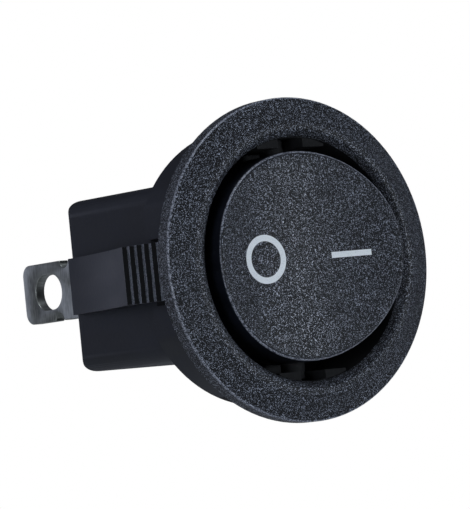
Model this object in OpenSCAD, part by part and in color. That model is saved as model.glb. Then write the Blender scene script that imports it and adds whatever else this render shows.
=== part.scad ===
// Round snap-in panel rocker switch, two positions, two solder terminals.
//
// Row frame: the origin is the centre of the bezel's rear face, which lies on the
// panel. The front of the switch looks along -Y, the body runs back along +Y, the
// rocker's pivot axis is parallel to Z, and the end that is pressed in lies at -X.
//
// The pieces are drawn lying on their back, with the panel at z = 0, the front at
// +z and the pivot axis along y, and stand() turns each of them into the row frame.

/* [Bezel] */
// Outer diameter of the bezel
bezel_d = 23; // [22:0.1:26]
// Thickness of the bezel at its rim
rim_t = 1.2; // [0.9:0.1:2]
// Rounding of the rim's front edge
rim_edge_r = 0.2; // [0.1:0.05:0.4]
// How far the crest round the opening stands in front of the rim
crest_rise = 1; // [0.6:0.1:1.5]
// Radius of the rounded crest round the opening
crest_r = 0.5; // [0.2:0.05:0.6]
// Diameter of the opening that the rocker moves in
opening_d = 17.2; // [17:0.1:17.6]

/* [Collar] */
// Diameter of the collar that fills the panel's hole
collar_d = 19.9; // [19.6:0.1:20.6]
// How far the collar reaches behind the panel
collar_depth = 4.8; // [4.2:0.1:5.2]
// Distance across the two flats of the collar
collar_flats = 17.8; // [17.6:0.1:18.4]
// Depth of the relief behind each arm's tip
relief_depth = 0.4; // [0.2:0.05:0.45]

/* [Box] */
// Length of the box along the rocking direction
box_l = 15.2; // [14.8:0.1:15.8]
// Width of the box along the pivot axis
box_w = 12.5; // [12:0.1:12.8]
// How far the box reaches behind the panel
box_depth = 16.2; // [15.8:0.1:18]
// Thickness of the box's side walls
wall = 1; // [0.8:0.05:1.1]
// Thickness of the box's rear wall
rear_wall = 1.4; // [1:0.1:1.8]
// Radius of the box's long edges
box_edge_r = 1.3; // [0.6:0.1:1.8]
// Radius of the box's rear edges
box_rear_r = 0.4; // [0.2:0.1:1.3]

/* [Snap arms] */
// Width of each snap arm
arm_w = 4.1; // [3.4:0.1:5]
// Thickness of each snap arm
arm_t = 0.85; // [0.7:0.05:1]
// How far the arm's root stands proud of the box
arm_proud = 0.6; // [0.5:0.05:0.8]
// Length of the root that is fused to the box
arm_root = 1.8; // [1.4:0.1:2.4]
// Distance from the box's rear face to the arm's rear end
arm_setback = 0.5; // [0.3:0.1:1.2]
// Distance across the first teeth of the two arms
arm_span = 20.7; // [20.5:0.1:21.4]
// Gap between the bezel and the arms' front ends
panel_gap = 2.1; // [2.1:0.1:2.6]
// Number of teeth on each arm
tooth_count = 6; // [4:1:6]
// Distance from one tooth to the next
tooth_pitch = 0.66; // [0.5:0.02:0.7]
// How much each tooth steps in towards the bezel
tooth_step = 0.16; // [0.1:0.02:0.18]
// Depth of the notch in front of each tooth
tooth_depth = 0.36; // [0.2:0.02:0.4]

/* [Rocker] */
// Diameter of the rocker
rocker_d = 14.8; // [14.2:0.1:14.9]
// Radius of the dished face
dish_r = 22.7; // [18:0.1:40]
// Rounding of the rocker's edges
rocker_edge_r = 0.25; // [0.15:0.05:0.4]
// Angle of the rocker from its middle position
tilt = 8.2; // [6:0.1:8.6]
// Depth of the pivot axis behind the panel
pivot_depth = 1; // [0.8:0.05:1.1]
// Height of the face's middle in front of the pivot axis
face_height = 3.47; // [3.2:0.05:4]
// How far the rocker's skirt reaches behind the pivot axis
skirt = 1.2; // [1.1:0.05:1.3]
// Thickness of the rocker's side wall
rocker_wall = 1; // [0.8:0.05:1.3]
// Thickness of the rocker's face at its middle
face_t = 1.3; // [1:0.05:1.6]
// Diameter of the pivot pins
pin_d = 1.7; // [1.4:0.1:1.8]
// Depth that each pin reaches into its bearing
pin_engage = 0.65; // [0.5:0.05:0.7]
// Width of the bearing lugs in the opening
lug_w = 5.9; // [4:0.1:6.2]
// Height of the lugs in front of the panel
lug_h = 1.3; // [0.4:0.1:1.5]
// Width of the groove that leads each pin into its bearing, at its throat
lead_in_w = 1.5; // [1.2:0.05:1.6]
// Width of the same groove at its mouth
lead_in_mouth = 2.2; // [1.8:0.1:2.6]
// Gap between the rocker's wall and the bearing lugs
lug_gap = 0.5; // [0.4:0.05:0.6]
// How far the rocker lies off the middle of its play between the lugs
side_play = 0.15; // [0:0.05:0.15]

/* [Plunger] */
// Outer diameter of the rocker's stem
stem_d = 4.2; // [3.8:0.1:4.6]
// Length of the stem behind the pivot axis
stem_len = 7.2; // [6.6:0.1:7.4]
// Diameter of the bore in the stem
bore_d = 2.6; // [2.4:0.05:2.8]
// Length of the plunger's shank
shank_len = 3.8; // [3.2:0.1:4.4]
// Radius of the plunger's nose
nose_r = 0.9; // [0.7:0.05:1]
// Travel of the plunger into the stem
plunger_travel = 0.8; // [0.4:0.1:1]
// Wire diameter of the spring
spring_wire = 0.3; // [0.2:0.02:0.36]
// Number of turns of the spring
spring_turns = 7; // [5:1:9]

/* [Contacts] */
// Depth of the lever's seat behind the panel
seat_depth = 11.2; // [11:0.1:11.6]
// Thickness of the contact lever
lever_t = 0.5; // [0.4:0.05:0.6]
// Radius of the rounded edge that the lever rocks on
lever_edge_r = 0.25; // [0.15:0.05:0.3]
// Width of the contact lever
lever_w = 4.6; // [4.2:0.1:5.2]
// Length of each wing of the contact lever
wing_l = 5.4; // [5.3:0.05:5.6]
// Distance of the contacts from the lever's seat
contact_x = 4.2; // [4:0.05:4.25]
// Width of the prongs that keep the lever on its seat
prong_w = 0.8; // [0.6:0.05:0.9]
// Diameter of the contact heads
contact_d = 2.2; // [1.8:0.1:2.3]
// Height of the contact heads
contact_h = 0.5; // [0.4:0.05:0.6]
// Diameter of the contacts' shanks
contact_shank_d = 1.2; // [0.9:0.1:1.4]

/* [Terminals] */
// Width of the terminal blades
tab_w = 4.4; // [4.2:0.1:4.8]
// Thickness of the terminal sheet
tab_t = 0.8; // [0.6:0.05:0.9]
// Length of each tab behind the box
tab_len = 8.2; // [7.8:0.1:9]
// Distance of the end terminal from the middle
end_x = 6; // [5.8:0.05:6.05]
// Radius of the tab's corners
tab_corner_r = 0.85; // [0.4:0.05:1]
// Length of the solder eye
eye_l = 3.4; // [2.8:0.1:3.6]
// Width of the solder eye
eye_w = 2.6; // [2:0.1:2.7]
// Distance from the eye's middle to the tab's end
eye_setback = 3.2; // [2.9:0.1:3.6]
// Radius of the notches in the tab's edges
notch_r = 0.55; // [0.4:0.05:0.6]
// Distance from the eye's middle to the upper notch
upper_notch = 1.15; // [0.9:0.05:1.4]
// Distance from the eye's middle to the lower notch
lower_notch = 2.3; // [2:0.05:2.6]

/* [Clearances] */
// Radial running gap of pins and plunger
run_gap = 0.05; // [0.03:0.01:0.08]
// Gap between parts that meet but do not slide
seat_gap = 0.05; // [0.03:0.01:0.08]

/* [Hidden] */
$fn = 96;
eps = 0.01;

bezel_r = bezel_d / 2;
opening_r = opening_d / 2;
collar_r = collar_d / 2;
crest_z = rim_t + crest_rise;
rocker_r = rocker_d / 2;
pin_r = pin_d / 2;

// Inside of the box, and the floor that the rocker's chamber ends on
cavity_l = box_l - 2 * wall;
cavity_w = box_w - 2 * wall;
cavity_floor = box_depth - rear_wall;
chamber_depth = collar_depth - wall;
chamber_l = collar_flats - 2 * (wall + seat_gap);
chamber_start = 0.3;

// Bearing lugs: their inner faces stand lug_gap off the rocker
lug_y = rocker_r + lug_gap;
bearing_end = lug_y + pin_engage + side_play + seat_gap;

// Lever: its V angle equals the rocker's tilt, so the loaded wing lies level
valley_t = lever_t / cos(tilt);
// The plunger's nose centre, measured from the pivot along the stem
nose_at = seat_depth - pivot_depth - valley_t - (nose_r + seat_gap) / cos(tilt);
shank_r = bore_d / 2 - run_gap;
shank_end = nose_at - 0.7 * nose_r;
shank_start = shank_end - shank_len;
bore_top = face_height - face_t - wall;
pilot_d = bore_d - 4.4 * spring_wire;
pilot_l = 1.2;

// Fixed contact: it meets the moving one when that wing lies level
fixed_top = seat_depth + contact_h + seat_gap;
platform_top = fixed_top + contact_h;
platform_end = contact_x - contact_d / 2 - 0.15;
tab_end = box_depth + tab_len;
eye_at = tab_end - eye_setback;
shoulder_w = tab_w + 1;

// Snap arms, in their own outline: [distance from the axis, height]
root_x = box_l / 2 + arm_proud;
root_z = -(box_depth - arm_setback);
last_crest_z = -(panel_gap + tooth_depth);
first_crest_z = last_crest_z - (tooth_count - 1) * tooth_pitch;
first_crest_x = arm_span / 2;
arm_steps = 10;

// Turns a piece that is drawn lying on its back into the row frame.
module stand() {
    rotate([90, 0, 0]) children();
}

// Puts a piece that is drawn round the pivot axis into its place, at rest.
module at_pivot() {
    translate([0, side_play, -pivot_depth]) rotate([0, -tilt, 0]) children();
}

// Puts a piece that is drawn round the lever's seat into its place, at rest.
module at_seat() {
    translate([0, 0, -seat_depth]) rotate([0, tilt, 0]) children();
}

// Points of an arc about [x, y], from angle a0 to angle a1.
function arc(x, y, r, a0, a1, n = 8) =
    [for (i = [0:n]) let (a = a0 + (a1 - a0) * i / n) [x + r * cos(a), y + r * sin(a)]];

// Rectangle with rounded corners, centred on the origin.
module rounded_rect(l, w, r) {
    square([l - 2 * r, w], center = true);
    square([l, w - 2 * r], center = true);
    for (sx = [-1, 1], sy = [-1, 1])
        translate([sx * (l / 2 - r), sy * (w / 2 - r)]) circle(r = r);
}

// Outline of the bezel's section: [radius, height in front of the panel].
function bezel_section() = let (
    inner = opening_r,
    slope = atan2(crest_rise, bezel_r - inner - 2 * crest_r))
    concat(
        [[inner, 0], [bezel_r, 0]],
        arc(bezel_r - rim_edge_r, rim_t - rim_edge_r, rim_edge_r, 0, 90 - slope, 4),
        arc(inner + crest_r, crest_z - crest_r, crest_r, 90 - slope, 180, 6));

module bezel() {
    rotate_extrude() polygon(bezel_section());
}

module collar() {
    intersection() {
        translate([0, 0, -collar_depth]) cylinder(r = collar_r, h = collar_depth + eps);
        cube([collar_flats, 2 * collar_r + 1, 4 * collar_depth], center = true);
    }
}

// Box with rounded long edges and rounded rear edges.
module box_shape() {
    span = 2 * box_depth;
    intersection() {
        translate([0, 0, -box_depth]) linear_extrude(box_depth)
            rounded_rect(box_l, box_w, box_edge_r);
        rotate([90, 0, 0]) linear_extrude(span, center = true)
            rounded_rect(box_l, span, box_rear_r);
        rotate([90, 0, 90]) linear_extrude(span, center = true)
            rounded_rect(box_w, span, box_rear_r);
    }
}

// Outer line of an arm from its root to its first tooth: it bows out as it nears the bezel.
function arm_x(t) = root_x + (first_crest_x - root_x) * (0.25 * t + 0.75 * t * t);
function arm_z(t) = root_z + (first_crest_z - root_z) * t;

// Crest of tooth i and the foot of the notch in front of it.
function crest(i) = [first_crest_x - i * tooth_step, first_crest_z + i * tooth_pitch];
function notch(i) = crest(i) + [-tooth_depth, 0.12 * tooth_pitch];

// Inner line of an arm, from its tip back to the slot that frees it from the box.
function arm_inner() = let (
    slot_t = arm_root / (first_crest_z - root_z),
    tip = crest(tooth_count - 1))
    concat(
        [[tip[0] - tooth_depth - 0.25, last_crest_z + tooth_depth],
         [tip[0] - tooth_depth - 0.3, last_crest_z]],
        [for (i = [arm_steps:-1:0])
            let (t = slot_t + (1 - slot_t) * i / arm_steps)
            [arm_x(t) - arm_t, arm_z(t)]]);

function arm_outline() = concat(
    [[box_l / 2 - wall / 2, root_z], [root_x - 0.05, root_z], [root_x, root_z + 0.05]],
    [for (i = [1:arm_steps]) [arm_x(i / arm_steps), arm_z(i / arm_steps)]],
    [for (i = [0:tooth_count - 1]) each (i == 0 ? [notch(0)] : [crest(i), notch(i)])],
    arm_inner(),
    [[box_l / 2 - wall / 2, arm_z(arm_root / (first_crest_z - root_z))]]);

module snap_arm() {
    rotate([90, 0, 0]) linear_extrude(arm_w, center = true) polygon(arm_outline());
}

// Space that the rocker swings in: round through the bezel, cut off behind the flats.
module chamber() {
    translate([0, 0, -chamber_start]) cylinder(r = opening_r, h = crest_z + 1);
    intersection() {
        translate([0, 0, -chamber_depth]) cylinder(r = opening_r, h = chamber_depth);
        cube([chamber_l, 2 * opening_r + 1, 4 * chamber_depth], center = true);
    }
    translate([0, 0, -cavity_floor]) linear_extrude(cavity_floor - chamber_depth + eps)
        square([cavity_l, cavity_w], center = true);
}

// Lugs that carry the rocker's pins, grown inwards from the wall of the opening.
module bearing_lugs() {
    intersection() {
        for (s = [-1, 1])
            translate([-lug_w / 2, s > 0 ? lug_y : -lug_y - opening_r, -chamber_depth])
                cube([lug_w, opening_r, chamber_depth + lug_h]);
        translate([0, 0, -chamber_depth]) cylinder(r = opening_r + eps, h = chamber_depth + crest_z);
    }
}

module terminal_slots() {
    for (x = [0, -end_x])
        translate([x, 0, -box_depth - 1]) linear_extrude(rear_wall + 2)
            square([tab_t + 2 * seat_gap, tab_w + 2 * seat_gap], center = true);
}

module housing() {
    color("#26282b") stand() difference() {
        union() {
            difference() {
                union() {
                    bezel();
                    collar();
                    box_shape();
                    for (s = [0, 1]) mirror([s, 0, 0]) snap_arm();
                }
                chamber();
                terminal_slots();
                arm_reliefs();
            }
            bearing_lugs();
        }
        bearings();
    }
}

// Shallow pockets in the collar's flats, so that the arms can flex in.
module arm_reliefs() {
    for (s = [0, 1]) mirror([s, 0, 0])
        translate([collar_flats / 2 - relief_depth, -arm_w / 2 - 0.3, -collar_depth - eps])
            cube([relief_depth + 0.05, arm_w + 0.6, collar_depth - wall]);
}

// Half of the lead-in groove's section: a throat that the pin snaps past, then a taper.
function lead_in_side() = [
    [lead_in_w / 2, -pivot_depth],
    [lead_in_w / 2, pin_r - pivot_depth],
    [lead_in_mouth / 2, lug_h + eps]];

function mirrored(points) = [for (i = [len(points) - 1:-1:0]) [-points[i][0], points[i][1]]];

// Bores for the pins, and the grooves that the pins snap in through from the front.
module bearings() {
    translate([0, 0, -pivot_depth]) rotate([90, 0, 0])
        cylinder(r = pin_r + run_gap, h = 2 * bearing_end, center = true);
    for (s = [0, 1]) mirror([0, s, 0])
        translate([0, opening_r, 0]) rotate([90, 0, 0])
            linear_extrude(opening_r - lug_y + 1)
                polygon(concat(lead_in_side(), mirrored(lead_in_side())));
}

// Outline of the cap's section: [radius, height], rounded at the skirt's lower edge.
function cap_section() = concat(
    [[0, -skirt]],
    arc(rocker_r - rocker_edge_r, rocker_edge_r - skirt, rocker_edge_r, -90, 0, 6),
    [[rocker_r, face_height + 2], [0, face_height + 2]]);

// Cap of the rocker: a disc whose face is dished along the rocking direction.
module cap() {
    difference() {
        rotate_extrude() polygon(cap_section());
        translate([0, 0, face_height + dish_r]) rotate([90, 0, 0])
            cylinder(r = dish_r, h = rocker_d + 2, center = true, $fn = 360);
    }
}

module rocker() {
    color("#2b2d30") stand() at_pivot() difference() {
        union() {
            difference() {
                cap();
                translate([0, 0, -skirt - 1])
                    cylinder(r = rocker_r - rocker_wall, h = skirt + 1 + face_height - face_t);
            }
            for (s = [-1, 1])
                rotate([s * 90, 0, 0]) translate([0, 0, rocker_r - rocker_wall - 0.1])
                    cylinder(r = pin_r, h = rocker_wall + 0.1 + lug_gap + pin_engage);
            translate([0, 0, -stem_len]) cylinder(d = stem_d, h = stem_len + face_height - face_t + eps);
            for (a = [0, 90]) rotate(a) stem_rib();
        }
        translate([0, 0, -stem_len - 1]) cylinder(d = bore_d, h = stem_len + 1 + bore_top);
    }
}

// Thin web that ties the stem to the skirt inside the cap.
module stem_rib() {
    rib_t = 0.8;
    rib_h = 1;
    for (s = [0, 1]) mirror([s, 0, 0])
        translate([stem_d / 2 - 0.2, -rib_t / 2, face_height - face_t - rib_h])
            cube([rocker_r - rocker_wall - stem_d / 2 + 0.3, rib_t, rib_h + eps]);
}

// Plunger: a shank that slides in the stem, with a round nose and a pilot for the spring.
module plunger() {
    color("#d9d6cc") stand() at_pivot() {
        translate([0, 0, -shank_end]) cylinder(r = shank_r, h = shank_len);
        translate([0, 0, -nose_at]) cylinder(r1 = nose_r, r2 = shank_r, h = nose_at - shank_end + eps);
        translate([0, 0, -nose_at]) sphere(r = nose_r);
        translate([0, 0, -shank_start - eps]) cylinder(d = pilot_d, h = pilot_l);
    }
}

// Round wire wound into a helix, drawn as rings of points joined by faces.
module coil(mean_r, wire_r, height, turns, per_turn = 16, sides = 6) {
    rings = turns * per_turn;
    points = [for (i = [0:rings], j = [0:sides - 1]) let (
        a = 360 * i / per_turn, b = 360 * j / sides, r = mean_r + wire_r * cos(b))
        [r * cos(a), r * sin(a), wire_r + (height - 2 * wire_r) * i / rings + wire_r * sin(b)]];
    walls = [for (i = [0:rings - 1], j = [0:sides - 1]) let (
        k = (j + 1) % sides, p = i * sides, q = p + sides)
        [p + j, q + j, q + k, p + k]];
    ends = [[for (j = [0:sides - 1]) j], [for (j = [sides - 1:-1:0]) rings * sides + j]];
    polyhedron(points, concat(walls, ends), convexity = 10);
}

module spring() {
    wire_r = spring_wire / 2;
    mean_r = pilot_d / 2 + wire_r + 0.1;
    color("#b8bcc0") stand() at_pivot()
        translate([0, 0, -shank_start + seat_gap])
            coil(mean_r, wire_r, shank_start + bore_top - 2 * seat_gap, spring_turns);
}

// Section of the lever: a shallow V that rests on its apex.
function lever_section() = let (rise = wing_l * sin(tilt), reach = wing_l * cos(tilt),
    lift = lever_t * cos(tilt), lean = lever_t * sin(tilt))
    [[0, 0], [reach, rise], [reach - lean, rise + lift], [0, valley_t],
     [-reach + lean, rise + lift], [-reach, rise]];

module contact_lever() {
    notch_l = tab_t + 0.9;
    color("#b87333") stand() at_seat() difference() {
        rotate([90, 0, 0]) {
            linear_extrude(lever_w, center = true) polygon(lever_section());
            cylinder(r = lever_edge_r, h = lever_w, center = true);
        }
        for (s = [-1, 1])
            translate([0, s * (lever_w / 2), 0])
                cube([notch_l, 2 * prong_w + 4 * seat_gap, 4 * lever_t], center = true);
        on_wing() translate([0, 0, -1]) cylinder(d = contact_shank_d, h = lever_t + 2);
    }
}

// Puts a piece on the underside of the lever's contact wing, looking forward.
module on_wing() {
    rotate([0, tilt, 0]) translate([-contact_x, 0, 0]) children();
}

// Rivet with a flat head below the wing, a shank through it and an upset end above.
module rivet(sheet_t, head_d, head_h, shank_d) {
    upset_h = 0.2;
    translate([0, 0, -head_h]) cylinder(d1 = head_d - 0.3, d2 = head_d, h = head_h / 2);
    translate([0, 0, -head_h / 2]) cylinder(d = head_d, h = head_h / 2);
    cylinder(d = shank_d - run_gap, h = sheet_t + upset_h);
    translate([0, 0, sheet_t]) cylinder(d = (head_d + shank_d) / 2, h = upset_h);
}

module moving_contact() {
    color("silver") stand() at_seat() on_wing()
        rivet(lever_t, contact_d, contact_h, contact_shank_d);
}

module fixed_contact() {
    color("silver") stand() translate([-contact_x, 0, -platform_top]) mirror([0, 0, 1])
        rivet(tab_t, contact_d, contact_h, contact_shank_d);
}

// Flat outline of a solder tab, drawn in [width, distance behind the panel].
module tab_outline(from) {
    difference() {
        union() {
            translate([-tab_w / 2, from]) square([tab_w, tab_end - from - tab_corner_r]);
            translate([-tab_w / 2 + tab_corner_r, from])
                square([tab_w - 2 * tab_corner_r, tab_end - from]);
            for (s = [-1, 1])
                translate([s * (tab_w / 2 - tab_corner_r), tab_end - tab_corner_r])
                    circle(r = tab_corner_r);
        }
        eye();
        translate([tab_w / 2, eye_at - upper_notch]) circle(r = notch_r);
        translate([-tab_w / 2, eye_at - lower_notch]) circle(r = notch_r);
    }
}

// Long solder eye: two half circles joined by straight sides.
module eye() {
    half = (eye_l - eye_w) / 2;
    translate([0, eye_at]) {
        square([eye_w, 2 * half], center = true);
        for (s = [-1, 1]) translate([0, s * half]) circle(d = eye_w);
    }
}

// Turns a flat blade outline into sheet that stands across the switch.
module blade() {
    rotate([-90, 0, 90]) mirror([1, 0, 0]) linear_extrude(tab_t, center = true) children();
}

module common_terminal() {
    seat_at = seat_depth + seat_gap;
    prong_top = seat_depth - 2 * lever_t - 0.3;
    prong_x = lever_w / 2 - prong_w;
    color("#8d9089") stand() difference() {
        blade() {
            tab_outline(seat_at);
            translate([-shoulder_w / 2, seat_at + 1])
                square([shoulder_w, cavity_floor - seat_at - 1]);
            for (s = [-1, 1])
                translate([s > 0 ? prong_x : -prong_x - prong_w, prong_top])
                    square([prong_w, seat_at - prong_top + 1.5]);
        }
        translate([0, 0, -seat_depth]) rotate([90, 0, 0])
            cylinder(r = lever_edge_r + run_gap, h = 2 * prong_x, center = true);
    }
}

// Section of the end terminal's sheet: a platform bent square to the blade.
module bend_section() {
    inner_r = 0.25;
    outer_r = inner_r + tab_t;
    translate([-end_x - tab_t / 2, -cavity_floor])
        square([tab_t, cavity_floor - platform_top - outer_r]);
    translate([-end_x - tab_t / 2 + outer_r, -platform_top - tab_t])
        square([end_x + tab_t / 2 - outer_r - platform_end, tab_t]);
    translate([-end_x - tab_t / 2 + outer_r, -platform_top - outer_r]) intersection() {
        difference() {
            circle(r = outer_r);
            circle(r = inner_r);
        }
        translate([-outer_r - 1, 0]) square([outer_r + 1, outer_r + 1]);
    }
}

module end_terminal() {
    color("#8d9089") stand() difference() {
        union() {
            rotate([90, 0, 0]) linear_extrude(tab_w, center = true) bend_section();
            translate([-end_x, 0, 0]) blade() tab_outline(cavity_floor - 1);
        }
        translate([-contact_x, 0, -platform_top - tab_t - 1])
            cylinder(d = contact_shank_d, h = tab_t + 2);
    }
}

housing();
rocker();
plunger();
spring();
contact_lever();
moving_contact();
fixed_contact();
common_terminal();
end_terminal();
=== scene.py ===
# %% [markdown]
# # A round rocker switch for a panel
#
# The switch is 23 mm across, so everything here is small: grain is counted in
# hundredths of a millimetre and a soft edge in tenths. The solids come ready from
# the frame. This lesson gives them their softened edges, the spark-eroded plastic,
# the plated terminals and the printed marks, and lights them like a product shot.
# Lengths are metres, and `mm` makes them readable.

import math

import bpy
from mathutils import Matrix, Vector


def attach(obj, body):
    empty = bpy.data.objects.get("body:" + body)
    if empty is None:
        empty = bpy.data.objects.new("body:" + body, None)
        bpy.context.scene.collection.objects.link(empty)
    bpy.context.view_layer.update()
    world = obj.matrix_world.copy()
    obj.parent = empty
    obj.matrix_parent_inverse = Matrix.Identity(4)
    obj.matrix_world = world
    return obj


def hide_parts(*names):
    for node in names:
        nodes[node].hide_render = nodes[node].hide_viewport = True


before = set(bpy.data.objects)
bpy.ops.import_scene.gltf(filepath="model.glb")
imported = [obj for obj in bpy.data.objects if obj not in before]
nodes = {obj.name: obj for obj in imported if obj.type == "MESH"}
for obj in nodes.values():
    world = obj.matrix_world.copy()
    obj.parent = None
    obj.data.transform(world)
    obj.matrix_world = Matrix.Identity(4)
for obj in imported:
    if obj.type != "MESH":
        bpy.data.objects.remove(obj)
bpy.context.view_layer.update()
mm = 0.001
print("solids in the frame:", sorted(nodes))

# %% [markdown]
# ## The camera
#
# A product shot of something this small is taken from close by with a long lens, so
# that the round bezel stays a clean ellipse. The camera is described the way a
# photographer would: how far round, how far up, how much it is rolled, how far away.
# It looks at a spot a little beside the middle of the bezel, and a long lens does
# the framing, so no shift is needed.

# %% Set up the camera
camera_turn = math.radians(-36.907)
camera_rise = math.radians(-2.652)
camera_roll = math.radians(-5.710)
camera_distance = 288.29 * mm
camera_lens = 289.5
aim_point = Vector((0, -1.2 * mm, 0))
slide_right = -4.643 * mm
slide_up = 0.313 * mm

back = Vector((math.sin(camera_turn) * math.cos(camera_rise),
               -math.cos(camera_turn) * math.cos(camera_rise),
               math.sin(camera_rise)))
level_right = (-back).cross(Vector((0, 0, 1))).normalized()
level_up = level_right.cross(-back)
right = math.cos(camera_roll) * level_right + math.sin(camera_roll) * level_up
up = math.cos(camera_roll) * level_up - math.sin(camera_roll) * level_right

camera_data = bpy.data.cameras.new("product_camera")
camera_data.lens = camera_lens
camera_data.sensor_fit = "AUTO"
camera_data.sensor_width = 36
camera_data.clip_start = 1 * mm
camera_data.clip_end = 50
camera = bpy.data.objects.new("product_camera", camera_data)
bpy.context.collection.objects.link(camera)
camera.matrix_world = Matrix((
    (right.x, up.x, back.x, 0), (right.y, up.y, back.y, 0),
    (right.z, up.z, back.z, 0), (0, 0, 0, 1)))
camera.location = aim_point + back * camera_distance + right * slide_right + up * slide_up
bpy.context.scene.camera = camera
print("camera stands at, in mm:", [round(c / mm, 1) for c in camera.location])

# %% [markdown]
# ## Writing shaders as sums
#
# A finish is a small sum: so much grain, so much wear, times a mask. Wrapping a
# socket in a class lets the sum be written as one. Each sign adds a Math node, and
# every other node comes from `node`, which sets the settings first and then fills
# the sockets with numbers or links.

# %% Helpers for finishes
class Value:
    def __init__(self, finish, socket):
        self.finish = finish
        self.socket = socket

    def sum(self, sign, a, b):
        return self.finish.node("ShaderNodeMath", {"operation": sign}, {0: a, 1: b})

    def __add__(self, other):
        return self.sum("ADD", self, other)

    def __radd__(self, other):
        return self.sum("ADD", other, self)

    def __rsub__(self, other):
        return self.sum("SUBTRACT", other, self)

    def __mul__(self, other):
        return self.sum("MULTIPLY", self, other)

    def __rmul__(self, other):
        return self.sum("MULTIPLY", other, self)


class Finish:
    def __init__(self, name, **fixed):
        self.material = bpy.data.materials.new(name)
        self.material.use_nodes = True
        self.tree = self.material.node_tree
        self.tree.nodes.clear()
        self.shader = self.tree.nodes.new("ShaderNodeBsdfPrincipled")
        output = self.tree.nodes.new("ShaderNodeOutputMaterial")
        self.tree.links.new(self.shader.outputs[0], output.inputs["Surface"])
        self.place = self.node("ShaderNodeTexCoord", out="Object")
        for socket, number in fixed.items():
            self.shader.inputs[socket.replace("_", " ")].default_value = number

    def fill(self, socket, value):
        if isinstance(value, Value):
            self.tree.links.new(value.socket, socket)
        elif hasattr(socket.default_value, "__len__") and len(value) == 3:
            size = len(socket.default_value)
            socket.default_value = tuple(value) + (1,) * (size - 3)
        else:
            socket.default_value = value

    def node(self, kind, settings=None, sockets=None, out=0):
        made = self.tree.nodes.new(kind)
        for name, setting in (settings or {}).items():
            setattr(made, name, setting)
        for name, value in (sockets or {}).items():
            self.fill(made.inputs[name], value)
        return Value(self, made.outputs[out])

    def noise(self, size, detail, stretch=(1, 1, 1)):
        """Soft random patches about size metres across."""
        place = self.node("ShaderNodeMapping", None, {"Vector": self.place, "Scale": stretch})
        return self.node("ShaderNodeTexNoise", None, {
            "Vector": place, "Scale": 1 / size, "Detail": detail, "Roughness": 0.5})

    def ramp(self, value, low, high):
        """0 below low, 1 above high, and a smooth rise between them."""
        return self.node("ShaderNodeMapRange", {"interpolation_type": "SMOOTHSTEP"}, {
            "Value": value, "From Min": low, "From Max": high, "To Min": 0.0, "To Max": 1.0})

    def blend(self, mask, first, second):
        """The first colour where mask is 0, the second where it is 1."""
        factor, colour_a, colour_b, colour_out = 0, 6, 7, 2
        return self.node("ShaderNodeMix", {"data_type": "RGBA"},
                         {factor: mask, colour_a: first, colour_b: second}, out=colour_out)

    def bump(self, height, depth):
        """Height from 0 to 1, where 1 stands depth metres proud."""
        return self.node("ShaderNodeBump", None, {
            "Strength": 1.0, "Distance": depth, "Height": height})

    def wear(self, **sockets):
        """Fills the shader's sockets and hands over the finished material."""
        for name, value in sockets.items():
            self.fill(self.shader.inputs[name.replace("_", " ")], value)
        return self.material

# %% [markdown]
# ## Black plastic from a spark-eroded mould
#
# The bezel and the rocker's face are moulded against steel that was roughened by
# sparks, which leaves a fine grain of pits and peaks, a tenth of a millimetre across.
# Each peak catches the light as a speck. Two noises of neighbouring sizes make the
# grain, and it moves the bump and the roughness. In the colour the peaks are painted
# a shade lighter and the highest ones light grey, as painted glints.

# %% Spark-eroded plastic
def sparked_plastic_with_painted_glints(name, grain=0.059 * mm):
    finish = Finish(name, IOR=1.5)
    fine = finish.noise(grain, detail=0.0)
    coarse = finish.noise(2.8 * grain, detail=1.0)
    patches = finish.noise(2.4 * mm, detail=2.0)
    grains = 0.75 * fine + 0.25 * coarse
    peaks = finish.ramp(grains, 0.40, 0.62)
    painted_glints = finish.ramp(grains, 0.57, 0.66)
    # Painted glints: lighter peaks and light grey specks in the colour.
    colour = finish.blend(peaks, (0.0, 0.0002, 0.0006), (0.014, 0.016, 0.023))
    colour = finish.blend(painted_glints, colour, (0.34, 0.37, 0.44))
    return finish.wear(
        Base_Color=colour,
        Roughness=0.48 - peaks * 0.18 + patches * 0.06,
        Normal=finish.bump(peaks, 0.12 * mm))


bezel_plastic = sparked_plastic_with_painted_glints("spark_eroded_plastic_with_painted_glints")
print("made the spark-eroded plastic")

# %% [markdown]
# ## Satin plastic for the body
#
# The collar, the box and the arms come from a plain part of the mould. They are
# smooth, with a satin shine, faint flow marks and a few dust specks. The same plastic
# also gets a polished finish with painted glints where fingers polish it, a lighter
# copy as a painted highlight on sharp edges, and a darker copy as painted shade deep
# in the opening.

# %% Satin, polished, painted highlight and painted shade plastic
def satin_plastic(name):
    finish = Finish(name, IOR=1.5)
    skin = finish.noise(0.35 * mm, detail=3.0)
    flow = finish.noise(1.6 * mm, detail=3.0, stretch=(1, 0.35, 1))
    dust = finish.ramp(finish.noise(0.22 * mm, detail=1.0), 0.70, 0.76)
    clouds = finish.ramp(flow, 0.3, 0.8)
    colour = finish.blend(clouds, (0.002, 0.003, 0.007), (0.005, 0.007, 0.014))
    colour = finish.blend(dust * 0.4, colour, (0.06, 0.065, 0.08))
    return finish.wear(
        Base_Color=colour,
        Roughness=0.42 + flow * 0.16 + dust * 0.2,
        Normal=finish.bump(skin * 0.6 + flow * 0.4, 0.012 * mm))


def rim_plastic(name):
    """The rounded rim, polished a little by the finger, with painted glints in its colour."""
    finish = Finish(name, IOR=1.5)
    grain = finish.noise(0.07 * mm, detail=1.0)
    patches = finish.noise(1.2 * mm, detail=2.0)
    painted_glints = finish.ramp(grain, 0.60, 0.70)
    # Painted glints: the grain's high points are painted a lighter grey.
    colour = finish.blend(painted_glints * 0.5, (0.010, 0.011, 0.015), (0.20, 0.22, 0.26))
    return finish.wear(
        Base_Color=colour,
        Roughness=0.22 + patches * 0.16 + grain * 0.06,
        Normal=finish.bump(grain, 0.008 * mm))


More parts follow.
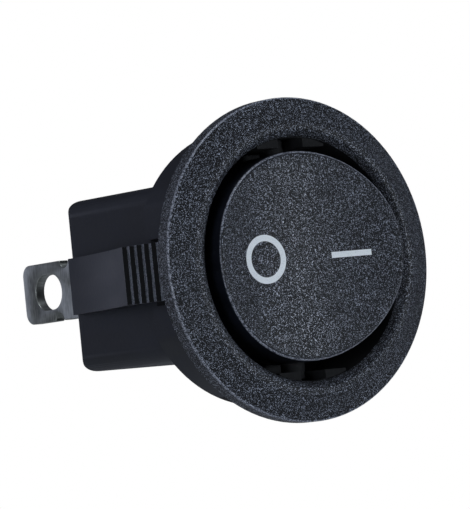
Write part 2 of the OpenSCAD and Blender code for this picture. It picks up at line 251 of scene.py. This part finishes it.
def edge_highlight_plastic(name):
    """A painted highlight: a sharp edge painted lighter, in patches."""
    finish = Finish(name, IOR=1.5)
    grain = finish.noise(0.10 * mm, detail=2.0)
    highlight_patches = finish.ramp(grain, 0.42, 0.60)
    # Painted highlight: light grey patches stand in for the light that the edge catches.
    return finish.wear(
        Base_Color=finish.blend(highlight_patches, (0.04, 0.045, 0.06), (0.36, 0.38, 0.44)),
        Roughness=0.30 + grain * 0.12,
        Normal=finish.bump(grain, 0.008 * mm))


def painted_shade_plastic(name):
    """The walls inside the opening, painted darker than the satin as painted shade, since hardly
    any light comes there.
    """
    finish = Finish(name, IOR=1.45)
    skin = finish.noise(0.3 * mm, detail=3.0)
    # Painted shade: a darker copy of the plastic.
    return finish.wear(
        Base_Color=finish.blend(skin, (0.0010, 0.0011, 0.0014), (0.0024, 0.0026, 0.0032)),
        Roughness=0.70 + skin * 0.2,
        Normal=finish.bump(skin, 0.01 * mm))


body_plastic = satin_plastic("satin_plastic")
polished_and_glint_plastic = rim_plastic("polished_rim_with_painted_glints")
painted_highlight_finish = edge_highlight_plastic("painted_edge_highlight")
painted_shade_finish = painted_shade_plastic("painted_shade_plastic")
print("made the satin, polished, rubbed and inner plastic")

# %% [markdown]
# ## Metal, wire, acetal and ink
#
# The terminals are punched from thin brass and dipped in tin, which dulls to a grey
# with a green cast and rubs bright on its edges. Inside are copper, silver, spring
# steel and natural acetal. The marks are pad-printed ink.

# %% The other finishes
def plated_metal(name, dark, light, roughness):
    """Metal with streaks across y, from rolling, and soft stains."""
    finish = Finish(name, Metallic=1.0)
    streaks = finish.noise(0.9 * mm, detail=4.0, stretch=(1, 8, 1))
    stains = finish.noise(1.3 * mm, detail=3.0)
    colour = finish.blend(finish.ramp(0.5 * streaks + 0.5 * stains, 0.3, 0.7), dark, light)
    return finish.wear(
        Base_Color=colour,
        Roughness=roughness - 0.12 + streaks * 0.25,
        Normal=finish.bump(streaks, 0.008 * mm))


def acetal(name):
    finish = Finish(name, IOR=1.48)
    cloud = finish.noise(0.8 * mm, detail=2.0)
    return finish.wear(
        Base_Color=finish.blend(cloud, (0.74, 0.72, 0.66), (0.82, 0.80, 0.74)),
        Roughness=0.35 + cloud * 0.12,
        Normal=finish.bump(cloud, 0.004 * mm))


def printed_ink(name):
    finish = Finish(name, IOR=1.5)
    grain = finish.noise(0.06 * mm, detail=1.0)
    thin = finish.ramp(grain, 0.50, 0.72)
    return finish.wear(
        Base_Color=finish.blend(thin * 0.5, (0.92, 0.96, 0.97), (0.54, 0.59, 0.64)),
        Roughness=0.45 + grain * 0.2,
        Normal=finish.bump(grain, 0.03 * mm))


tin_plating = plated_metal("dull_tin", (0.20, 0.21, 0.19), (0.46, 0.47, 0.44), 0.42)
lever_copper = plated_metal("copper_strip", (0.55, 0.30, 0.18), (0.75, 0.44, 0.28), 0.35)
contact_silver = plated_metal("contact_silver", (0.70, 0.69, 0.66), (0.88, 0.87, 0.84), 0.3)
spring_steel = plated_metal("spring_steel", (0.42, 0.42, 0.43), (0.62, 0.62, 0.63), 0.3)
plunger_acetal = acetal("natural_acetal")
mark_ink = printed_ink("white_ink")
print("finishes:", sorted(m.name for m in bpy.data.materials if m.node_tree))

# %% [markdown]
# ## Softening a solid's edges
#
# No moulded edge is sharp: each catches a thin line of light, and that line draws the
# shape. A solid from the frame is left as it is. A copy of it has its doubled points
# merged and its flat faces joined, and then a Bevel modifier rounds the edges
# that turn by more than a given angle.

# %% Helpers for modelling
def select_only(*objects):
    bpy.ops.object.select_all(action="DESELECT")
    for o in objects:
        o.select_set(True)
    bpy.context.view_layer.objects.active = objects[0]


def apply_modifier(piece, kind, **settings):
    select_only(piece)
    modifier = piece.modifiers.new(kind.title(), kind)
    for name, setting in settings.items():
        setattr(modifier, name, setting)
    bpy.ops.object.modifier_apply(modifier=modifier.name)


def smooth(piece, angle=40):
    select_only(piece)
    bpy.ops.object.shade_smooth_by_angle(angle=math.radians(angle))


def softened_copy(node, width, turn):
    """A copy of a solid with its edges rounded where they turn by more than turn."""
    same_point = 0.001 * mm
    same_face = math.radians(1)
    piece = nodes[node].copy()
    piece.data = nodes[node].data.copy()
    piece.name = piece.data.name = node + "_softened"
    bpy.context.collection.objects.link(piece)
    piece.parent = None
    piece.matrix_world = Matrix.Identity(4)
    select_only(piece)
    bpy.ops.object.mode_set(mode="EDIT")
    bpy.ops.mesh.select_all(action="SELECT")
    bpy.ops.mesh.remove_doubles(threshold=same_point)
    bpy.ops.mesh.dissolve_limited(angle_limit=same_face)
    bpy.ops.object.mode_set(mode="OBJECT")
    apply_modifier(piece, "BEVEL", width=width, segments=2, limit_method="ANGLE",
                   angle_limit=math.radians(turn), use_clamp_overlap=True,
                   miter_outer="MITER_ARC", harden_normals=False)
    smooth(piece, turn)
    print(piece.name, "has", len(piece.data.polygons), "faces")
    return piece


def finish_with(piece, *finishes):
    """Gives a piece its materials, in the order that its faces number them."""
    piece.data.materials.clear()
    for finish in finishes:
        piece.data.materials.append(finish)

# %% [markdown]
# ## The housing
#
# Bezel, collar, box and arms are one moulding, so they stay one piece. The crest round
# the opening is rounder than a Bevel makes it: its points lie on an arc of one radius
# and are moved to an arc of a larger one, which meets the same wall and lies a little
# deeper.

# %% Soften the housing and round its crest
housing = softened_copy("housing", 0.06 * mm, turn=32)
opening_radius = 8.6 * mm
crest_radius = 0.5 * mm
crest_reach, crest_rise = opening_radius + crest_radius, 1.7 * mm
soft_radius = 0.8 * mm
soft_reach, soft_rise = opening_radius + soft_radius, 1.203 * mm
near = 0.02 * mm
grow = soft_radius / crest_radius
for vertex in housing.data.vertices:
    x, y, z = vertex.co
    reach = math.hypot(x, z)
    across, along = reach - crest_reach, -y - crest_rise
    on_arc = abs(math.hypot(across, along) - crest_radius) < near
    if on_arc and along > -near / 2:
        wider = (soft_reach + grow * across) / reach
        vertex.co = (x * wider, -(soft_rise + grow * along), z * wider)
housing.data.update()

# %% [markdown]
# ### Which face gets which finish
# The grain is only on what the mould's front half made: every face in front of the
# panel. The rest is satin. The inside of the opening and the notches between the teeth
# lie in the dark and get a darker copy of the plastic as painted shade, and the rim's
# edge and the slopes of the teeth get a lighter copy as a painted highlight. Weighted
# normals then keep the large flats flat beside their rounded edges.

# %% Dress the housing
panel_face = -near
rim_edge_start = (11.3 * mm, -0.95 * mm)
box_inside = (7.5 * mm, 6.1 * mm)
box_floor = 14.9 * mm
collar_end = 4.8 * mm
bevel_area = 0.35 * mm * mm
slope_area = 3 * mm * mm


def between(low, value, high):
    return low * mm < value < high * mm


def finish_of(face):
    """The place in the list of finishes that suits where this face lies."""
    x, y, z = face.center
    x, z = abs(x), abs(z)
    reach = math.hypot(x, z)
    on_rim_edge = reach > rim_edge_start[0] and y < rim_edge_start[1]
    on_teeth = x > 9.2 * mm and z < 2.2 * mm and between(2.2, y, 6.1)
    on_slope = on_teeth and y < 5.6 * mm and abs(face.normal.x) > 0.9
    # Painted highlight: the slopes of the teeth and the bevels on the rim's edge.
    if on_slope and face.area < slope_area:
        return painted_highlight
    if face.area < bevel_area and (on_rim_edge or on_teeth):
        return painted_highlight
    # Painted shade: the faces of the teeth that face the bezel, and below, the walls inside the
    # opening and round the pins.
    if on_teeth and face.normal.y < -0.9:
        return painted_shade
    near_pin = x < 4 * mm and between(8, z, 9.5) and between(-1.4, y, 4.6)
    in_opening = reach < opening_radius + near and -1.5 * mm < y < box_floor
    in_box = x < box_inside[0] and z < box_inside[1]
    if near_pin or in_opening and (in_box or y < collar_end):
        return painted_shade
    return grained if y < panel_face else satin


grained, satin, painted_shade, painted_highlight = range(4)
finish_with(housing, bezel_plastic, body_plastic, painted_shade_finish, painted_highlight_finish)
for face in housing.data.polygons:
    face.material_index = finish_of(face)
apply_modifier(housing, "WEIGHTED_NORMAL", keep_sharp=True, weight=80)
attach(housing, "switch_body")
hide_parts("housing")
used = [face.material_index for face in housing.data.polygons]
print("faces with each finish:", [used.count(index) for index in range(4)])

# %% [markdown]
# ## The rocker
#
# The rocker's face is a shallow trough that a finger finds by feel. It is drawn
# upright round its pivot: a cylinder whose top is inset into rings, the rings lowered
# to the trough's curve, and the rim bevelled wide, because this edge is the first
# thing that a finger meets. It is then turned into the position it rests in.

# %% Sizes of the rocker
rocker_radius = 7.4 * mm
rocker_wall = 1.0 * mm
skirt_depth = 1.2 * mm
face_height = 3.47 * mm
face_thickness = 1.3 * mm
dish_radius = 22.7 * mm
rest_tilt = math.radians(8.2)
pivot_depth = 1.0 * mm
pin_radius = 0.85 * mm
pin_reach = 8.55 * mm
side_play = 0.15 * mm
rim_rounding = 0.32 * mm
stem_radius = 2.1 * mm
stem_bore = 1.3 * mm
stem_depth = 7.2 * mm


def dish(x):
    """How far the trough has risen, x metres from its lowest line."""
    return dish_radius - math.sqrt(dish_radius ** 2 - x * x)


def to_rest(piece):
    """Turns a piece drawn upright round the pivot into its place in the frame."""
    lay = Matrix.Rotation(math.radians(90), 4, "X")
    shift = Matrix.Translation((0, side_play, -pivot_depth))
    tilt = Matrix.Rotation(-rest_tilt, 4, "Y")
    piece.data.transform(lay @ shift @ tilt)
    piece.data.update()

# %% Model the rocker's cap
bpy.ops.object.select_all(action="DESELECT")
bpy.ops.mesh.primitive_cylinder_add(
    vertices=160, radius=rocker_radius, depth=skirt_depth + face_height,
    location=(0, 0, (face_height - skirt_depth) / 2))
rocker = bpy.context.object
rocker.name = rocker.data.name = "rocker_cap"
bpy.ops.object.transform_apply(location=True, rotation=True, scale=True)
bpy.ops.object.mode_set(mode="EDIT")
bpy.ops.mesh.select_all(action="DESELECT")
bpy.ops.object.mode_set(mode="OBJECT")
for face in rocker.data.polygons:
    face.select = face.normal.z > 0.9
bpy.ops.object.mode_set(mode="EDIT")
bpy.ops.mesh.select_mode(type="FACE")
rings, ring_width = 10, 0.7 * mm
for ring in range(rings):
    bpy.ops.mesh.inset(thickness=ring_width, depth=0)
bpy.ops.mesh.poke()
bpy.ops.object.mode_set(mode="OBJECT")
for vertex in rocker.data.vertices:
    if vertex.co.z > face_height - 0.01 * mm:
        vertex.co.z = face_height + dish(vertex.co.x)
for face in rocker.data.polygons:
    face.select = face.normal.z < -0.9
bpy.ops.object.mode_set(mode="EDIT")
bpy.ops.mesh.inset(thickness=rocker_wall, depth=0)
bpy.ops.mesh.extrude_region_move(TRANSFORM_OT_translate={
    "value": (0, 0, skirt_depth + face_height - face_thickness)})
bpy.ops.object.mode_set(mode="OBJECT")

# %% Round the rocker's rim
def rim_edges(mesh, radius, lowest):
    """Selects the edges that run round at this radius above this height."""
    for edge in mesh.edges:
        a, b = (mesh.vertices[i].co for i in edge.vertices)
        round_it = all(abs(math.hypot(p.x, p.y) - radius) < 0.01 * mm for p in (a, b))
        edge.select = round_it and min(a.z, b.z) > lowest


for part in (rocker.data.vertices, rocker.data.edges, rocker.data.polygons):
    part.foreach_set("select", [False] * len(part))
rim_edges(rocker.data, rocker_radius, face_height - 0.2 * mm)
bpy.ops.object.mode_set(mode="EDIT")
bpy.ops.mesh.select_mode(type="EDGE")
bpy.ops.object.mode_set(mode="OBJECT")
rim_edges(rocker.data, rocker_radius, face_height - 0.2 * mm)
bpy.ops.object.mode_set(mode="EDIT")
bpy.ops.mesh.bevel(offset=rim_rounding, segments=5, profile=0.5, affect="EDGES")
bpy.ops.object.mode_set(mode="OBJECT")
print("rocker cap has", len(rocker.data.polygons), "faces")

# %% [markdown]
# The face is grained, the side wall is satin, and the rounding between them is
# polished, with painted glints and a painted highlight line along its middle.

# %% Dress the rocker's cap
face_grain, rim_polish_and_glints, rim_highlight_line, side_satin = range(4)
finish_with(rocker, bezel_plastic, polished_and_glint_plastic, painted_highlight_finish, body_plastic)
for face in rocker.data.polygons:
    slope = face.normal.z
    high = face.center.z > face_height - 0.6 * mm
    small = face.area < 0.1 * mm * mm
    # Painted highlight: a light line along the middle of the rim's rounding, beside the polished
    # rounding with its painted glints.
    if high and small and 0.15 < slope < 0.93:
        face.material_index = rim_highlight_line if 0.35 < slope < 0.8 else rim_polish_and_glints
    else:
        face.material_index = side_satin if abs(slope) < 0.15 else face_grain
smooth(rocker)
print("rim faces:", sum(f.material_index in (rim_polish_and_glints, rim_highlight_line) for f in rocker.data.polygons))

# %% [markdown]
# ### Pins and stem
#
# Two pins carry the rocker, and a hollow stem reaches into the box to guide the
# plunger. They are hardly seen, yet they turn with the rocker, so they are modelled
# and joined to the cap.

# %% Model the pins and the stem
def turned(name, radius, length, middle, turn=(0, 0, 0)):
    """A rod with a small chamfer at both ends."""
    bpy.ops.object.select_all(action="DESELECT")
    bpy.ops.mesh.primitive_cylinder_add(
        vertices=48, radius=radius, depth=length, location=middle, rotation=turn)
    piece = bpy.context.object
    piece.name = piece.data.name = name
    bpy.ops.object.transform_apply(location=True, rotation=True, scale=True)
    apply_modifier(piece, "BEVEL", width=0.08 * mm, segments=2, limit_method="ANGLE",
                   angle_limit=math.radians(50))
    smooth(piece)
    return piece


pin_start = rocker_radius - 0.5 * mm
pin_length = pin_reach - pin_start
pin_middle = pin_start + pin_length / 2
quarter = math.radians(90)
pins = [turned("pin", pin_radius, pin_length, (0, side * pin_middle, 0), (quarter, 0, 0))
        for side in (-1, 1)]
stem_top = face_height - face_thickness + 0.1 * mm
stem_length = stem_depth + stem_top
stem_middle = stem_top - stem_length / 2
bore_end_wall = 1.1 * mm
stem = turned("stem", stem_radius, stem_length, (0, 0, stem_middle))
bore = turned("stem_bore", stem_bore, stem_length, (0, 0, stem_middle - bore_end_wall))
apply_modifier(stem, "BOOLEAN", object=bore, operation="DIFFERENCE", solver="EXACT")
bpy.data.objects.remove(bore)
# The pins and the stem take the darker plastic: painted shade.
for piece in (stem, *pins):
    finish_with(piece, painted_shade_finish)
select_only(rocker, stem, *pins)
bpy.ops.object.join()
to_rest(rocker)
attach(rocker, "rocker_body")
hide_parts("rocker")
print("rocker has", len(rocker.data.polygons), "faces")

# %% [markdown]
# ### The printed marks
#
# A ring and a bar are pad-printed on the face. The pad presses ink into the trough,
# so each mark follows its curve and stands two hundredths of a millimetre proud.

# %% Model the ring and the bar
ink_proud = 0.02 * mm
ink_depth = 0.04 * mm
ring_middle = (-3.37 * mm, -0.07 * mm)
ring_radius = 1.72 * mm
stroke = 0.45 * mm
bar_middle = (3.52 * mm, -0.11 * mm)
bar_length = 2.97 * mm
bar_width = 0.42 * mm


def print_on_face(piece, middle):
    """Lays a flat outline in the trough and gives it the depth of ink."""
    bpy.ops.object.mode_set(mode="OBJECT")
    for vertex in piece.data.vertices:
        vertex.co.x += middle[0]
        vertex.co.y += middle[1]
        vertex.co.z = face_height + dish(vertex.co.x) + ink_proud
    apply_modifier(piece, "SOLIDIFY", thickness=ink_depth, offset=-1)
    smooth(piece)
    to_rest(piece)
    finish_with(piece, mark_ink)
    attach(piece, "rocker_body")
    print(piece.name, "has", len(piece.data.polygons), "faces")


bpy.ops.object.select_all(action="DESELECT")
bpy.ops.mesh.primitive_circle_add(vertices=96, radius=ring_radius, fill_type="NGON")
ring_mark = bpy.context.object
ring_mark.name = ring_mark.data.name = "ring_mark"
bpy.ops.object.mode_set(mode="EDIT")
bpy.ops.mesh.select_all(action="SELECT")
bpy.ops.mesh.inset(thickness=stroke / 2, depth=0)
bpy.ops.mesh.inset(thickness=stroke / 2, depth=0)
bpy.ops.mesh.delete(type="FACE")
print_on_face(ring_mark, ring_middle)

bpy.ops.object.select_all(action="DESELECT")
bpy.ops.mesh.primitive_grid_add(x_subdivisions=24, y_subdivisions=3, size=1)
bar_mark = bpy.context.object
bar_mark.name = bar_mark.data.name = "bar_mark"
bar_mark.scale = (bar_length, bar_width, 1)
bpy.ops.object.transform_apply(location=True, rotation=True, scale=True)
print_on_face(bar_mark, bar_middle)

# %% [markdown]
# ## Terminals and the parts inside
#
# A punch rolls an edge over a little more than a mould does, so the terminals are
# softened a shade wider than the housing. The parts inside keep their solids and take
# their finishes.

# %% Dress the terminals and the inner parts
for node in ("common_terminal", "end_terminal"):
    terminal = softened_copy(node, 0.07 * mm, turn=40)
    finish_with(terminal, tin_plating)
    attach(terminal, "switch_body")
    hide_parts(node)

inner_finishes = {
    "plunger": plunger_acetal, "spring": spring_steel, "contact_lever": lever_copper,
    "moving_contact": contact_silver, "fixed_contact": contact_silver}
for node, finish in inner_finishes.items():
    for slot in nodes[node].material_slots:
        slot.material = finish
print("dressed", len(inner_finishes), "inner parts")

# %% [markdown]
# ## Floor and light
#
# A round pale table lies below the switch, so that the shot has no hard shadow. Two
# small softboxes in front draw every grain of the bezel and the rocker, and a low one
# lifts the left of the collar. One overhead draws the upper edges, one high at the
# right fills them, and two cooler ones behind fill the body and the arms. Black
# plastic looks black only where it has dark surroundings to reflect, so all are weak.

# %% Lay the floor
bpy.ops.object.select_all(action="DESELECT")
bpy.ops.mesh.primitive_circle_add(vertices=128, radius=0.6, fill_type="NGON",
                                  location=(0, 0, -40 * mm))
floor = bpy.context.object
floor.name = floor.data.name = "studio_floor"
floor_paint = Finish("pale_floor")
paper = floor_paint.noise(4 * mm, detail=3.0)
finish_with(floor, floor_paint.wear(
    Base_Color=floor_paint.blend(paper, (0.78, 0.78, 0.78), (0.82, 0.82, 0.82)),
    Roughness=0.75 + paper * 0.1,
    Normal=floor_paint.bump(paper, 0.02 * mm)))

# %% Hang the lights
def softbox(name, turn, rise, distance, size, power, colour=(0.84, 0.91, 1.0)):
    """An area light turn degrees round from the front and rise degrees up."""
    data = bpy.data.lights.new(name, "AREA")
    data.shape = "RECTANGLE"
    data.size, data.size_y = size
    data.energy = power
    data.color = colour
    box = bpy.data.objects.new(name, data)
    bpy.context.collection.objects.link(box)
    turn, rise = math.radians(turn), math.radians(rise)
    away = Vector((math.sin(turn) * math.cos(rise),
                   -math.cos(turn) * math.cos(rise),
                   math.sin(rise)))
    box.location = lit_point + away * distance
    box.rotation_euler = away.to_track_quat("Z", "Y").to_euler()


lit_point = Vector((0, 5 * mm, 0))
cool = (0.72, 0.77, 1.0)
softbox("front_softbox", 24, 0, 0.45, (0.08, 0.10), 0.64)
softbox("left_softbox", -60, 3, 0.45, (0.04, 0.08), 0.19)
softbox("low_strip", -60, -8, 0.14, (0.06, 0.04), 0.018)
softbox("high_softbox", 60, 50, 0.45, (0.18, 0.18), 0.05)
softbox("rear_softbox", -150, 25, 0.45, (0.30, 0.26), 0.07, colour=cool)
softbox("rear_strip", -168, 4, 0.45, (0.20, 0.18), 0.095, colour=cool)
softbox("top_strip", -30, 74, 0.45, (0.12, 0.04), 0.50)

# %% [markdown]
# The surroundings are white where the camera looks straight at them, and give the
# switch itself only a weak bluish light, a little stronger from above.

# %% Set the surroundings
world = bpy.data.worlds.new("studio")
bpy.context.scene.world = world
world.use_nodes = True
tree = world.node_tree
tree.nodes.clear()


def world_node(kind, **inputs):
    made = tree.nodes.new(kind)
    for name, value in inputs.items():
        socket = made.inputs[name.replace("_", " ")]
        if isinstance(value, bpy.types.NodeSocket):
            tree.links.new(value, socket)
        else:
            socket.default_value = value
    return made


coordinates = world_node("ShaderNodeTexCoord")
direction = world_node("ShaderNodeSeparateXYZ", Vector=coordinates.outputs["Generated"])
height = world_node("ShaderNodeMapRange", Value=direction.outputs["Z"],
                    From_Min=-0.3, From_Max=0.8, To_Min=0.07, To_Max=0.10)
lighting = world_node("ShaderNodeBackground", Color=(0.78, 0.82, 1.0, 1),
                      Strength=height.outputs[0])
shown = world_node("ShaderNodeBackground", Color=(1, 1, 1, 1), Strength=1.0)
choose = tree.nodes.new("ShaderNodeMixShader")
output = tree.nodes.new("ShaderNodeOutputWorld")
tree.links.new(tree.nodes.new("ShaderNodeLightPath").outputs["Is Camera Ray"], choose.inputs[0])
tree.links.new(lighting.outputs[0], choose.inputs[1])
tree.links.new(shown.outputs[0], choose.inputs[2])
tree.links.new(choose.outputs[0], output.inputs["Surface"])
bpy.context.scene.view_settings.view_transform = "Standard"
print("surroundings:", len(tree.nodes), "nodes")
